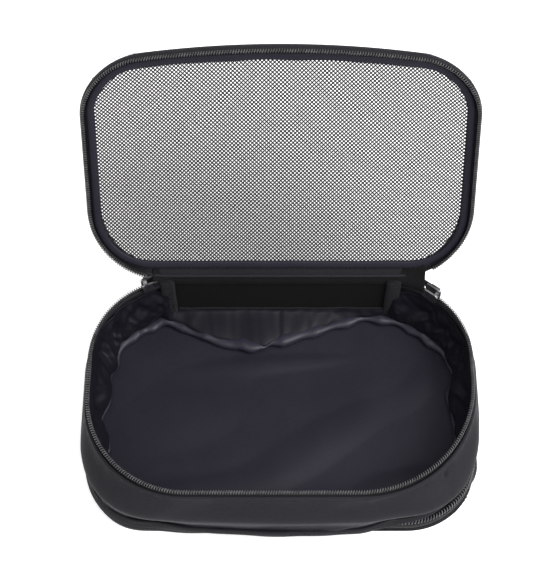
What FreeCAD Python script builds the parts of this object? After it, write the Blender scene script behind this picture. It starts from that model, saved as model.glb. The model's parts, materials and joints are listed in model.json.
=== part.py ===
import FreeCAD, Part
import math
import os
import Sketcher

# Two-compartment zip pouch for cables and small travel things.
#
# Frame: millimetres, +X to the user's right, the front of the pouch at -Y and +Z up. The
# origin is the centre of the underside. The upper compartment has a mesh lid hinged along
# the top of the back wall, standing open. The shallow lower compartment is closed by the
# base cover, which is hinged along the bottom of the back wall and zipped round its edge.

SIZES = {
    # Upper rim, measured along the line of its zip coil.
    "rim_width": 230,
    "rim_depth": 144,
    "rim_corner": 52,
    "rim_chain_height": 64.5,
    # Widest belt of the soft wall, and the fold at its foot.
    "belly_width": 247,
    "belly_depth": 156,
    "belly_corner": 55,
    "belly_shift": 4,
    "belly_height": 40,
    "waist_width": 245,
    "waist_depth": 154,
    "waist_corner": 53,
    "waist_shift": 2.5,
    "waist_height": 21,
    "wall_top": 58,
    "wall_thickness": 1.4,
    "hem_height": 3.2,
    "hem_thickness": 1.4,
    # Base cover, measured along the line of the lower zip coil.
    "base_width": 240.6,
    "base_depth": 144,
    "base_corner": 50,
    "base_chain_height": 14.1,
    "base_panel_thickness": 1.6,
    "base_band_bottom": 0.4,
    "base_band_top": 8.6,
    # Divider between the two compartments.
    "divider_width": 238,
    "divider_depth": 140,
    "divider_corner": 49,
    "divider_shift": 1,
    "divider_bottom": 20,
    "divider_thickness": 1.2,
    "floor_binding_inset": 2.6,
    "floor_binding_radius": 2.2,
    # Flat back panel and the tapes on it.
    "back_gap": 72,
    "back_face": 70.6,
    "back_bottom": 3.8,
    "back_top": 69.6,
    "back_tape_half_length": 66,
    "back_tape_bottom": 27,
    "back_tape_width": 7,
    "seam_binding_width": 8,
    "seam_binding_bottom": 34.6,
    "seam_binding_top": 66,
    # Lid, in its own frame: the hinge axis is the origin and the lid lies closed at z = 0.
    "hinge_y": 72,
    "hinge_height": 73,
    "lid_open_angle": 125,
    "lid_width": 236.8,
    "lid_depth": 147.2,
    "lid_corner": 54,
    "piping_radius": 1.5,
    "border_width": 5.2,
    "border_thickness": 1.2,
    "mesh_thickness": 0.8,
    "lid_binding_inset": 4.5,
    "lid_binding_width": 2.6,
    "lid_binding_thickness": 1.4,
    # Base cover hinge.
    "base_hinge_y": 71.5,
    "base_hinge_height": 2.6,
    "base_hinge_radius": 0.8,
    "base_binding_inset": 1.8,
    # Zip: two coils side by side on their tapes.
    "tape_thickness": 1,
    "tape_width": 7,
    "coil_radius": 1.2,
    "coil_pitch_half": 2.1,
    "zip_gap": 74,
    "lid_zip_gap": 101,
    "fabric_gap": 0.3,
    # Slider and pull tab.
    "slider_length": 11,
    "slider_height": 8.8,
    "slider_corner": 2,
    "plate_thickness": 1.1,
    "plate_gap": 1.7,
    "post_length": 2.4,
    "post_offset": 2,
    "post_thickness": 1.2,
    "lip_gap": 0.95,
    "lip_height": 0.8,
    "bridge_length": 6.4,
    "bridge_width": 2,
    "bridge_bar": 0.9,
    "bridge_opening": 2,
    "crossbar_radius": 0.55,
    "pull_length": 17,
    "pull_width": 5.6,
    "pull_slot": 3,
    "pull_slot_length": 3.6,
    "pull_grip_start": 8.5,
    "pull_grip_width": 1.5,
    # Where the sliders are parked.
    "left_park_angle": 69,
    "right_park_angle": 53,
    "lower_meeting_x": 4,
    "lower_half_spacing": 6.5,
}


class Size:
    """A number together with the spreadsheet expression that gives it."""

    def __init__(self, value, text):
        self.value = float(value)
        self.text = text

    def __add__(self, other):
        other = as_size(other)
        return Size(self.value + other.value, f"({self.text} + {other.text})")

    def __sub__(self, other):
        other = as_size(other)
        return Size(self.value - other.value, f"({self.text} - {other.text})")

    def __mul__(self, other):
        other = as_size(other)
        return Size(self.value * other.value, f"({self.text} * {other.text})")

    def __truediv__(self, other):
        other = as_size(other)
        return Size(self.value / other.value, f"({self.text} / {other.text})")

    def __neg__(self):
        return self * -1


def as_size(number):
    return number if isinstance(number, Size) else Size(number, repr(float(number)))


def cosine(angle):
    return Size(math.cos(math.radians(angle.value)), f"cos({angle.text} * 1 deg)")


def sine(angle):
    return Size(math.sin(math.radians(angle.value)), f"sin({angle.text} * 1 deg)")


class Outline:
    """A rounded rectangle in plan: half width, half depth, corner radius and middle in Y."""

    def __init__(self, width, depth, corner, middle):
        self.half_width = as_size(width) / 2
        self.half_depth = as_size(depth) / 2
        self.corner = corner
        self.middle = as_size(middle)

    def grown(self, margin):
        """The same outline moved outwards by margin all the way round."""
        return Outline(
            (self.half_width + margin) * 2,
            (self.half_depth + margin) * 2,
            self.corner + margin,
            self.middle,
        )


document = FreeCAD.newDocument("CableOrganizerPouch")
sheet = document.addObject("Spreadsheet::Sheet", "Sizes")
for row, (alias, value) in enumerate(SIZES.items(), start=1):
    sheet.set(f"A{row}", str(value))
    sheet.setAlias(f"A{row}", alias)
document.recompute()
size = {alias: Size(sheet.get(alias), f"Sizes.{alias}") for alias in SIZES}
nodes = []


# ---------------------------------------------------------------- sketch and feature helpers

def bind(item, path, value):
    """Binds a property of a feature to a size."""
    value = as_size(value)
    item.setExpression(path, value.text)


def new_body(node):
    """A body whose label names the sub-part."""
    body = document.addObject("PartDesign::Body", node)
    body.Label = node
    nodes.append(body)
    return body


def new_sketch(body, name, plane, offset):
    """A sketch on one of the body's own origin planes, moved along the plane's normal."""
    sketch = body.newObject("Sketcher::SketchObject", f"{body.Name}_{name}")
    support = next(item for item in body.Origin.OriginFeatures if item.Role == plane)
    sketch.AttachmentSupport = (support, [""])
    sketch.MapMode = "FlatFace"
    bind(sketch, "AttachmentOffset.Base.z", offset)
    return sketch


def hold(sketch, kind, first, second, value, name):
    """Holds second minus first, along X or Y, at a size of either sign."""
    if value.value < 0:
        first, second, value = second, first, -value
    index = sketch.addConstraint(Sketcher.Constraint(kind, *first, *second, value.value))
    sketch.renameConstraint(index, name)
    bind(sketch, f"Constraints.{name}", value)


ORIGIN = (-1, 1)


def add_outline(sketch, outline):
    """Draws a rounded rectangle, its front edge in two halves that meet at x = 0."""
    x = outline.half_width.value
    y = outline.half_depth.value
    corner = outline.corner.value
    middle = outline.middle.value
    front, back = middle - y, middle + y
    point = FreeCAD.Vector
    up = point(0, 0, 1)
    base = sketch.GeometryCount

    def line(x0, y0, x1, y1):
        sketch.addGeometry(Part.LineSegment(point(x0, y0, 0), point(x1, y1, 0)), False)

    def arc(centre_x, centre_y, start):
        circle = Part.Circle(point(centre_x, centre_y, 0), up, corner)
        ends = math.radians(start), math.radians(start + 90)
        sketch.addGeometry(Part.ArcOfCircle(circle, *ends), False)

    line(0, front, x - corner, front)
    arc(x - corner, front + corner, -90)
    line(x, front + corner, x, back - corner)
    arc(x - corner, back - corner, 0)
    line(x - corner, back, corner - x, back)
    arc(corner - x, back - corner, 90)
    line(-x, back - corner, -x, front + corner)
    arc(corner - x, front + corner, 180)
    line(corner - x, front, 0, front)
    for first in range(8):
        tangent = Sketcher.Constraint("Tangent", base + first, 2, base + first + 1, 1)
        sketch.addConstraint(tangent)
    sketch.addConstraint(Sketcher.Constraint("Coincident", base + 8, 2, base, 1))
    sketch.addConstraint(Sketcher.Constraint("PointOnObject", base, 1, -2))
    for flat in (0, 4, 8):
        sketch.addConstraint(Sketcher.Constraint("Horizontal", base + flat))
    for upright in (2, 6):
        sketch.addConstraint(Sketcher.Constraint("Vertical", base + upright))
    for other in (3, 5, 7):
        sketch.addConstraint(Sketcher.Constraint("Equal", base + 1, base + other))
    index = sketch.addConstraint(Sketcher.Constraint("Radius", base + 1, corner))
    sketch.renameConstraint(index, f"corner{base}")
    bind(sketch, f"Constraints.corner{base}", outline.corner)
    front_point = (base, 1)
    hold(sketch, "DistanceX", ORIGIN, (base + 2, 1), outline.half_width, f"right{base}")
    hold(sketch, "DistanceX", (base + 6, 1), ORIGIN, outline.half_width, f"left{base}")
    hold(sketch, "DistanceY", front_point, ORIGIN,
         outline.half_depth - outline.middle, f"front{base}")
    hold(sketch, "DistanceY", front_point, (base + 4, 1), outline.half_depth * 2, f"depth{base}")


def add_rectangle(sketch, left, right, low, high):
    """Draws a rectangle between two X sizes and two Y sizes, none of them zero."""
    left, right, low, high = (as_size(edge) for edge in (left, right, low, high))
    base = sketch.GeometryCount
    corners = [
        FreeCAD.Vector(left.value, low.value, 0),
        FreeCAD.Vector(right.value, low.value, 0),
        FreeCAD.Vector(right.value, high.value, 0),
        FreeCAD.Vector(left.value, high.value, 0),
    ]
    for side in range(4):
        segment = Part.LineSegment(corners[side], corners[(side + 1) % 4])
        sketch.addGeometry(segment, False)
    for side in range(4):
        meet = Sketcher.Constraint("Coincident", base + side, 2, base + (side + 1) % 4, 1)
        sketch.addConstraint(meet)
        direction = "Horizontal" if side % 2 == 0 else "Vertical"
        sketch.addConstraint(Sketcher.Constraint(direction, base + side))
    hold(sketch, "DistanceX", ORIGIN, (base, 1), left, f"left{base}")
    hold(sketch, "DistanceX", ORIGIN, (base + 1, 1), right, f"right{base}")
    hold(sketch, "DistanceY", ORIGIN, (base, 1), low, f"low{base}")
    hold(sketch, "DistanceY", ORIGIN, (base + 2, 1), high, f"high{base}")


def add_circle(sketch, across, along, radius):
    """Draws a circle at two sizes from the origin; None puts its centre on that axis."""
    across_value = 0 if across is None else across.value
    along_value = 0 if along is None else along.value
    centre = FreeCAD.Vector(across_value, along_value, 0)
    up = FreeCAD.Vector(0, 0, 1)
    sketch.addGeometry(Part.Circle(centre, up, radius.value), False)
    index = sketch.addConstraint(Sketcher.Constraint("Radius", 0, radius.value))
    sketch.renameConstraint(index, "radius")
    bind(sketch, "Constraints.radius", radius)
    if across is None:
        sketch.addConstraint(Sketcher.Constraint("PointOnObject", 0, 3, -2))
    else:
        hold(sketch, "DistanceX", ORIGIN, (0, 3), across, "across")
    if along is None:
        sketch.addConstraint(Sketcher.Constraint("PointOnObject", 0, 3, -1))
    else:
        hold(sketch, "DistanceY", ORIGIN, (0, 3), along, "along")


def pad(body, sketch, length, both_ways=False):
    """Pads a sketch along its normal, or half the length each way."""
    feature = body.newObject("PartDesign::Pad", f"{sketch.Name}_pad")
    feature.Profile = sketch
    feature.SideType = "Symmetric" if both_ways else "One side"
    bind(feature, "Length", length)
    return feature


def cut_through(body, sketch):
    """Pockets a sketch right through the body both ways, and checks that it cut."""
    document.recompute()
    before = body.Shape.Volume
    feature = body.newObject("PartDesign::Pocket", f"{sketch.Name}_pocket")
    feature.Profile = sketch
    feature.SideType = "Symmetric"
    feature.Type = "ThroughAll"
    document.recompute()
    if body.Shape.Volume >= before:
        raise RuntimeError(f"{sketch.Name} cuts nothing")


def open_back(body, outline, gap):
    """Takes the back of a ring away between x = -gap and x = +gap."""
    sketch = new_sketch(body, "back_gap", "XY_Plane", 0)
    behind = outline.middle + outline.half_depth
    add_rectangle(sketch, -gap, gap, behind - outline.corner, behind + outline.corner)
    cut_through(body, sketch)


def band(node, outline, thickness, bottom, height, gap=None):
    """A flat-sided ring of cloth that follows an outline inwards, open at the back or not."""
    body = new_body(node)
    sketch = new_sketch(body, "ring", "XY_Plane", bottom)
    add_outline(sketch, outline)
    add_outline(sketch, outline.grown(-thickness))
    pad(body, sketch, height)
    if gap is not None:
        open_back(body, outline, gap)
    return body


def sheet_panel(node, outline, bottom, thickness):
    """A flat panel with rounded corners."""
    body = new_body(node)
    sketch = new_sketch(body, "outline", "XY_Plane", bottom)
    add_outline(sketch, outline)
    pad(body, sketch, thickness)
    return body


def bead(node, outline, radius, height, gap=None):
    """A round cord or coil that follows an outline at a height (None is 0), open or whole."""
    body = new_body(node)
    path = new_sketch(body, "path", "XY_Plane", 0 if height is None else height)
    add_outline(path, outline)
    profile = new_sketch(body, "profile", "YZ_Plane", 0)
    front = outline.middle - outline.half_depth
    add_circle(profile, front, height, radius)
    pipe = body.newObject("PartDesign::AdditivePipe", f"{node}_pipe")
    pipe.Profile = profile
    pipe.Spine = path
    if gap is not None:
        open_back(body, outline, gap)
    return body


def strip(node, left, right, front, back, bottom, top):
    """A straight upright strip: a rectangle in plan, padded upwards."""
    body = new_body(node)
    sketch = new_sketch(body, "plan", "XY_Plane", bottom)
    add_rectangle(sketch, left, right, front, back)
    pad(body, sketch, top - bottom)
    return body


# ---------------------------------------------------------------- outlines

gap = size["fabric_gap"]
tape = size["tape_thickness"]
coil = size["coil_radius"]
rim = Outline(size["rim_width"], size["rim_depth"], size["rim_corner"], 0)
belly = Outline(size["belly_width"], size["belly_depth"], size["belly_corner"],
                -size["belly_shift"])
waist = Outline(size["waist_width"], size["waist_depth"], size["waist_corner"],
                -size["waist_shift"])
base = Outline(size["base_width"], size["base_depth"], size["base_corner"], 0)
divider = Outline(size["divider_width"], size["divider_depth"], size["divider_corner"],
                  -size["divider_shift"])
lid = Outline(size["lid_width"], size["lid_depth"], size["lid_corner"], -size["lid_depth"] / 2)
lid_rim = Outline(size["rim_width"], size["rim_depth"], size["rim_corner"],
                  -size["rim_depth"] / 2)


# ---------------------------------------------------------------- main body

def side_wall():
    """The soft wall round the front and sides: waist fold, belly and rim."""
    body = new_body("front_side_wall")
    top = rim.grown(tape / 2 + gap + size["wall_thickness"])
    levels = [
        (waist, size["waist_height"]),
        (belly, size["belly_height"]),
        (top, size["wall_top"]),
    ]
    for kind, margin in (("Additive", 0), ("Subtractive", -size["wall_thickness"])):
        rings = []
        for place, (outline, height) in enumerate(levels):
            ring = new_sketch(body, f"{kind}{place}", "XY_Plane", height)
            add_outline(ring, outline.grown(margin))
            rings.append(ring)
        loft = body.newObject(f"PartDesign::{kind}Loft", f"wall_{kind}")
        loft.Profile = rings[0]
        loft.Sections = rings[1:]
        loft.Ruled = True
    open_back(body, waist, size["back_gap"] + gap)


def waist_hem():
    """The folded hem under the wall, over the lower zip."""
    bottom = size["waist_height"] - gap - size["hem_height"]
    band("waist_hem", waist, size["hem_thickness"], bottom, size["hem_height"],
         size["zip_gap"])


def zip_side(name, outline, chain_height, upper, gap_half):
    """One tape with its coil: the coil is next to the other side's, the tape beyond it."""
    reach = size["coil_pitch_half"]
    coil_height = chain_height + reach if upper else chain_height - reach
    bead(f"{name}_coil", outline, coil, coil_height, gap_half)
    edge = coil_height + coil if upper else coil_height - coil - size["tape_width"]
    band(f"{name}_tape", outline.grown(tape / 2), tape, edge, size["tape_width"], gap_half)


def divider_floor():
    """The floor of the upper compartment and the loose binding along its seam."""
    sheet_panel("divider_floor", divider, size["divider_bottom"], size["divider_thickness"])
    radius = size["floor_binding_radius"]
    height = size["divider_bottom"] + size["divider_thickness"] + gap + radius
    bead("floor_binding", divider.grown(-size["floor_binding_inset"]), radius, height)


def back_wall():
    """The flat back panel, its seam tape and the bindings over its two upright seams."""
    thickness = size["wall_thickness"]
    outside = size["back_face"]
    inside = outside - thickness
    half = size["back_gap"]
    strip("back_panel", -half, half, inside, outside, size["back_bottom"], size["back_top"])
    tape_half = size["back_tape_half_length"]
    tape_bottom = size["back_tape_bottom"]
    strip("back_seam_tape", -tape_half, tape_half, inside - thickness, inside, tape_bottom,
          tape_bottom + size["back_tape_width"])
    wide = size["seam_binding_width"]
    low, high = size["seam_binding_bottom"], size["seam_binding_top"]
    front = inside - thickness
    strip("left_seam_binding", -half, wide - half, front, inside, low, high)
    strip("right_seam_binding", half - wide, half, front, inside, low, high)


def base_hinge_binding():
    """The bound edge along the bottom of the back wall, on the base cover's hinge axis."""
    body = new_body("base_hinge_binding")
    sketch = new_sketch(body, "section", "YZ_Plane", 0)
    add_circle(sketch, size["base_hinge_y"], size["base_hinge_height"],
               size["base_hinge_radius"])
    pad(body, sketch, size["back_gap"] * 2, both_ways=True)


# ---------------------------------------------------------------- base cover

def base_cover():
    """The cover under the lower compartment: panel, side band and inner binding."""
    thickness = size["wall_thickness"]
    outside = base.grown(tape / 2 + gap + thickness)
    inside = outside.grown(-thickness - gap)
    sheet_panel("base_panel", inside, 0, size["base_panel_thickness"])
    low, high = size["base_band_bottom"], size["base_band_top"]
    band("base_side_band", outside, thickness, low, high - low, size["zip_gap"])
    bead("base_inner_binding", base.grown(-size["base_binding_inset"]), coil,
         size["base_panel_thickness"] + gap + coil, size["zip_gap"])


# ---------------------------------------------------------------- lid

def swing_lid(first):
    """Opens every body made since the given place about the hinge at the back of the rim."""
    for body in nodes[first:]:
        opened = FreeCAD.Rotation(FreeCAD.Vector(-1, 0, 0), size["lid_open_angle"].value)
        body.Placement.Rotation = opened
        bind(body, "Placement.Rotation.Angle", size["lid_open_angle"])
        bind(body, "Placement.Base.y", size["hinge_y"])
        bind(body, "Placement.Base.z", size["hinge_height"])


def lid_parts():
    """The lid: mesh, border, inner binding, piping and its half of the zip."""
    first = len(nodes)
    radius = size["piping_radius"]
    bead("lid_piping", lid, radius, None)
    frame = lid.grown(-radius - gap)
    thick = size["border_thickness"]
    band("lid_border", frame, size["border_width"], -thick / 2, thick)
    window = frame.grown(-size["border_width"] - gap)
    mesh = size["mesh_thickness"]
    sheet_panel("mesh_panel", window, -mesh / 2, mesh)
    inner = lid.grown(-size["lid_binding_inset"])
    binding = size["lid_binding_thickness"]
    top = -thick / 2 - gap
    band("lid_inner_binding", inner, size["lid_binding_width"], top - binding, binding)
    coil_height = size["rim_chain_height"] + size["coil_pitch_half"] - size["hinge_height"]
    bead("lid_zip_coil", lid_rim, coil, coil_height, size["lid_zip_gap"])
    tape_bottom = coil_height + coil
    tape_top = -radius
    band("lid_zip_tape", lid_rim.grown(tape / 2), tape, tape_bottom, tape_top - tape_bottom,
         size["lid_zip_gap"])
    swing_lid(first)


# ---------------------------------------------------------------- sliders

def slider_plates(body, inner_face):
    """Two plates with rounded corners, each side of the coils."""
    thickness = size["plate_thickness"]
    outline = Outline(size["slider_length"], size["slider_height"], size["slider_corner"], 0)
    for name, near in (("outer", inner_face), ("inner", -inner_face - thickness)):
        plate = new_sketch(body, f"{name}_plate", "XZ_Plane", -near - thickness)
        add_outline(plate, outline)
        pad(body, plate, thickness)


def slider_body(name, nose, tape_below):
    """Plates, post at the nose, lips over the main body's tape and the pull's bridge."""
    body = new_body(f"{name}_slider_body")
    near = size["plate_gap"]
    thickness = size["plate_thickness"]
    slider_plates(body, near)
    post = new_sketch(body, "post", "XY_Plane", 0)
    start = size["post_offset"]
    end = start + size["post_length"]
    ends = (start, end) if nose > 0 else (-end, -start)
    add_rectangle(post, *ends, -near - thickness / 2, near + thickness / 2)
    pad(body, post, size["post_thickness"], both_ways=True)
    half_height = size["slider_height"] / 2
    lip_edge = -half_height if tape_below else half_height - size["lip_height"]
    lips = new_sketch(body, "lips", "XY_Plane", lip_edge)
    half_lip = size["slider_length"] / 2 - size["slider_corner"]
    add_rectangle(lips, -half_lip, half_lip, size["lip_gap"], near + thickness / 2)
    add_rectangle(lips, -half_lip, half_lip, -near - thickness / 2, -size["lip_gap"])
    pad(body, lips, size["lip_height"])
    bridge = new_sketch(body, "bridge", "XY_Plane", 0)
    outside = near + thickness
    half_bridge = size["bridge_length"] / 2
    bar = size["bridge_bar"]
    opening_end = outside + size["bridge_opening"]
    add_rectangle(bridge, -half_bridge, bar - half_bridge, outside - bar / 2, opening_end + bar)
    add_rectangle(bridge, half_bridge - bar, half_bridge, outside - bar / 2, opening_end + bar)
    pad(body, bridge, size["bridge_width"], both_ways=True)
    crown = new_sketch(body, "crown", "XY_Plane", 0)
    add_rectangle(crown, -half_bridge, half_bridge, opening_end, opening_end + bar)
    pad(body, crown, size["bridge_width"], both_ways=True)
    return body


def pull_tab(name, towards):
    """A flat pull whose crossbar goes through the bridge; it lies along +X or -X."""
    body = new_body(f"{name}_pull_tab")
    pivot = size["plate_gap"] + size["plate_thickness"] + size["bridge_opening"] / 2
    root = size["crossbar_radius"]
    plate = new_sketch(body, "plate", "XZ_Plane", -pivot - root)
    half_width = size["pull_width"] / 2
    length = size["pull_length"]
    edge = root / 2
    near, far = (edge, length) if towards > 0 else (-length, -edge)
    add_rectangle(plate, near, far, -half_width, half_width)
    slot_half = size["pull_slot"] / 2
    slot_end = root + size["pull_slot_length"]
    slot = (root, slot_end) if towards > 0 else (-slot_end, -root)
    add_rectangle(plate, *slot, -slot_half, slot_half)
    grip_start, grip_end = size["pull_grip_start"], length - root * 2
    grip = (grip_start, grip_end) if towards > 0 else (-grip_end, -grip_start)
    grip_half = size["pull_grip_width"] / 2
    add_rectangle(plate, *grip, -grip_half, grip_half)
    pad(body, plate, root * 2)
    crossbar = new_sketch(body, "crossbar", "XY_Plane", 0)
    add_circle(crossbar, None, pivot, root)
    pad(body, crossbar, size["pull_width"], both_ways=True)
    return body


def place(body, x, y, turn):
    """Stands a slider or pull at a point of the chain, turned about the vertical."""
    body.Placement.Rotation = FreeCAD.Rotation(FreeCAD.Vector(0, 0, 1), turn.value)
    bind(body, "Placement.Base.x", x)
    bind(body, "Placement.Base.y", y)
    bind(body, "Placement.Rotation.Angle", turn)


def rim_sliders():
    """The two parked sliders of the lid's zip, on the back corners of the rim."""
    centre_x = rim.half_width - rim.corner
    centre_y = rim.half_depth - rim.corner
    for name, side, angle in (("left_rim", -1, size["left_park_angle"]),
                              ("right_rim", 1, size["right_park_angle"])):
        x = (centre_x + rim.corner * cosine(angle)) * side
        y = centre_y + rim.corner * sine(angle)
        turn = (as_size(90) - angle) * -side
        for body in (slider_body(name, side, tape_below=True), pull_tab(name, -side)):
            place(body, x, y, turn)
            bind(body, "Placement.Base.z", size["rim_chain_height"])


def lower_sliders():
    """The two sliders of the closed lower zip, nose to nose near the front centre."""
    for name, side in (("left_lower", -1), ("right_lower", 1)):
        x = size["lower_meeting_x"] + size["lower_half_spacing"] * side
        for body in (slider_body(name, side, tape_below=False), pull_tab(name, -side)):
            place(body, x, -base.half_depth, as_size(180))
            bind(body, "Placement.Base.z", size["base_chain_height"])


side_wall()
waist_hem()
zip_side("rim_zip", rim, size["rim_chain_height"], False, size["zip_gap"])
zip_side("lower_zip_top", base, size["base_chain_height"], True, size["zip_gap"])
divider_floor()
back_wall()
base_hinge_binding()
base_cover()
zip_side("lower_zip_bottom", base, size["base_chain_height"], False, size["zip_gap"])
lid_parts()
rim_sliders()
lower_sliders()
document.recompute()

for item in document.Objects:
    if "Invalid" in item.State or "Error" in item.State:
        raise RuntimeError(f"{item.Name} is {item.State}")
for body in nodes:
    if body.Shape.isNull() or not body.Shape.isValid():
        raise RuntimeError(f"{body.Label} has no valid shape")
    if len(body.Shape.Solids) != 1:
        raise RuntimeError(f"{body.Label} has {len(body.Shape.Solids)} solids")

os.makedirs("parts", exist_ok=True)
for body in nodes:
    body.Shape.exportStep(f"parts/{body.Label}.step")
    box = body.Shape.BoundBox
    print(f"{body.Label:24s} {body.Shape.Volume:9.1f}  x {box.XMin:7.1f} {box.XMax:7.1f}"
          f"  y {box.YMin:7.1f} {box.YMax:7.1f}  z {box.ZMin:6.1f} {box.ZMax:6.1f}")
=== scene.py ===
import json
import math

import bpy
import numpy as np
from mathutils import Matrix, Vector, noise


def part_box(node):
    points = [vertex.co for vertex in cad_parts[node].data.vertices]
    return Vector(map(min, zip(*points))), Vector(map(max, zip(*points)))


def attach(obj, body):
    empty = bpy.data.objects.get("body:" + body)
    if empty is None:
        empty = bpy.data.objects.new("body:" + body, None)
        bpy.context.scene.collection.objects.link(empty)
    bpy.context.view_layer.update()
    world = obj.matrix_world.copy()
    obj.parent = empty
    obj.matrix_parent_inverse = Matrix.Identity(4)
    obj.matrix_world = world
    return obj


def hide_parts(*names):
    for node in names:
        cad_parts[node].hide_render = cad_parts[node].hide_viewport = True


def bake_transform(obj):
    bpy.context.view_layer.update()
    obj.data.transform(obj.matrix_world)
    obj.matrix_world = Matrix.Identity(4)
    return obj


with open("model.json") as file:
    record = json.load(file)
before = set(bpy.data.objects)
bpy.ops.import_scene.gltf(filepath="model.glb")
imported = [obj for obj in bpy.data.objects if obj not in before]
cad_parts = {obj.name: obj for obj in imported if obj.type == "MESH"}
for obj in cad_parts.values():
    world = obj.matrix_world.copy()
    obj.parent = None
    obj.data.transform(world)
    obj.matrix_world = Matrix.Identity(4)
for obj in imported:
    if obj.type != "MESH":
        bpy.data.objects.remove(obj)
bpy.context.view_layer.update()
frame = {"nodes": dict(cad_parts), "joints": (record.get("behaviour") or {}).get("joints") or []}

# Soft zip pouch with a net lid, standing open. Metres, in the frame of the CAD model: +X to
# the user's right, the front at -Y, +Z up, the origin under the middle of the base.

MM = 0.001
joints = {joint["name"]: joint for joint in frame["joints"]}
HINGE = Vector(joints["lid_hinge"]["pos_m"])
LID_OPEN = math.radians(joints["lid_hinge"]["range_deg"][1])
# The lid's own frame has the hinge axis as its X axis and the lid lying closed at z = 0.
LID_FRAME = Matrix.Translation(HINGE) @ Matrix.Rotation(-LID_OPEN, 4, "X")

# Heights of the main levels.
HEM_BOTTOM, HEM_TOP = (corner.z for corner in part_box("waist_hem"))
WALL_BOTTOM, WALL_TOP = (corner.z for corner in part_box("front_side_wall"))
FLOOR_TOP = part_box("divider_floor")[1].z
RIM_COIL = sum(corner.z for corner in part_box("rim_zip_coil")) / 2
BACK_INSIDE, BACK_OUTSIDE = (corner.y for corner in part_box("back_panel"))
BACK_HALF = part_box("back_panel")[1].x
BASE_BAND_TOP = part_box("base_side_band")[1].z
LOWER_CHAIN = (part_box("lower_zip_top_coil")[0].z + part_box("lower_zip_bottom_coil")[1].z) / 2

# Length of one turn of each zip's coil and radius of its wire.
RIM_PITCH, RIM_WIRE = 1.55 * MM, 0.27 * MM
LOWER_PITCH, LOWER_WIRE = 2.0 * MM, 0.38 * MM
NOISE_SEED = 7

# Camera: a long lens above the front.
CAMERA_LENS = 86.9
CAMERA_ELEVATION = math.radians(61.4)
CAMERA_DISTANCE = 0.873
CAMERA_AIM = HINGE + Vector((-0.0032, -0.0098, -0.0054))


# ---- outlines

class Outline:
    """A rounded rectangle in plan, in millimetres. Stations run from 0 to 9 round it, from the
    middle of the back by the left side: one for each half or whole straight and each corner.
    The corners are the radii back left, front left, front right and back right."""

    TURNS = np.radians([90, 90, 180, 180, 270, 270, 360, 360, 450, 450])

    def __init__(self, half_width, back, front, corners, across=0.0):
        self.left, self.right = (across - half_width) * MM, (across + half_width) * MM
        self.back, self.front = back * MM, front * MM
        self.corners = np.array(corners, float) * MM

    def copied(self, left, right, back, front, corners):
        copy = Outline(0, 0, 0, (0, 0, 0, 0))
        copy.left, copy.right, copy.back, copy.front = left, right, back, front
        copy.corners = corners
        return copy

    def grown(self, margin):
        return self.copied(self.left - margin, self.right + margin, self.back + margin,
                           self.front - margin, self.corners + margin)

    def mixed(self, other, share):
        """An outline that is partly this one and partly another."""
        pairs = ((self.left, other.left), (self.right, other.right), (self.back, other.back),
                 (self.front, other.front), (self.corners, other.corners))
        return self.copied(*(own + (foreign - own) * share for own, foreign in pairs))

    def centres(self):
        """X and Y that each station's straights and corners are measured from."""
        back_left, front_left, front_right, back_right = self.corners
        middle = (self.left + self.right) / 2
        xs = np.repeat([self.left + back_left, self.left + front_left, self.right - front_right,
                        self.right - back_right], 2)
        ys = np.repeat([self.back - back_left, self.front + front_left, self.front + front_right,
                        self.back - back_right], (3, 2, 2, 3))
        return np.array([middle, *xs, middle]), ys

    def lengths(self):
        back_left, front_left, front_right, back_right = self.corners
        bend = math.pi / 2
        half = (self.right - self.left) / 2
        depth = self.back - self.front
        return np.array([
            half - back_left, bend * back_left, depth - back_left - front_left,
            bend * front_left, 2 * half - front_left - front_right, bend * front_right,
            depth - front_right - back_right, bend * back_right, half - back_right])

    def at(self, station):
        """X, Y and the outward normal at each station."""
        station = np.asarray(station, float)
        segment = np.clip(np.floor(station).astype(int), 0, 8)
        share = station - segment
        radii = np.array([self.corners[0], *np.repeat(self.corners, 2), self.corners[3]])
        centre_x, centre_y = self.centres()
        angle = self.TURNS[segment] * (1 - share) + self.TURNS[segment + 1] * share
        normal_x, normal_y = np.cos(angle), np.sin(angle)
        (x0, y0), (x1, y1) = ((centre_x[place] + radii[place] * normal_x,
                               centre_y[place] + radii[place] * normal_y)
                              for place in (segment, segment + 1))
        return x0 * (1 - share) + x1 * share, y0 * (1 - share) + y1 * share, normal_x, normal_y

    def station_at(self, distance):
        """The station at each distance along the outline from the middle of the back."""
        ends = np.concatenate([[0], np.cumsum(self.lengths())])
        distance = np.asarray(distance, float) % ends[-1]
        segment = np.clip(np.searchsorted(ends, distance, side="right") - 1, 0, 8)
        return segment + (distance - ends[segment]) / self.lengths()[segment]

    def start_beyond(self, gap, side=-1):
        """Distance from the middle of the back to where x is gap out on that side."""
        corner = self.corners[0] if side < 0 else self.corners[3]
        reach = gap - side * (self.left + self.right) / 2
        across = self.lengths()[0] if side < 0 else self.lengths()[8]
        if reach <= across:
            return reach
        return across + corner * math.asin((reach - across) / corner)

    def stations(self, count, gap=None, other_gap=None):
        """Evenly spaced stations: the whole loop, or all but the back between the gaps."""
        total = float(self.lengths().sum())
        if gap is None:
            return self.station_at(np.linspace(0, total, count, endpoint=False))
        start = self.start_beyond(gap)
        end = total - self.start_beyond(gap if other_gap is None else other_gap, 1)
        return self.station_at(np.linspace(start, end, count))


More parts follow.
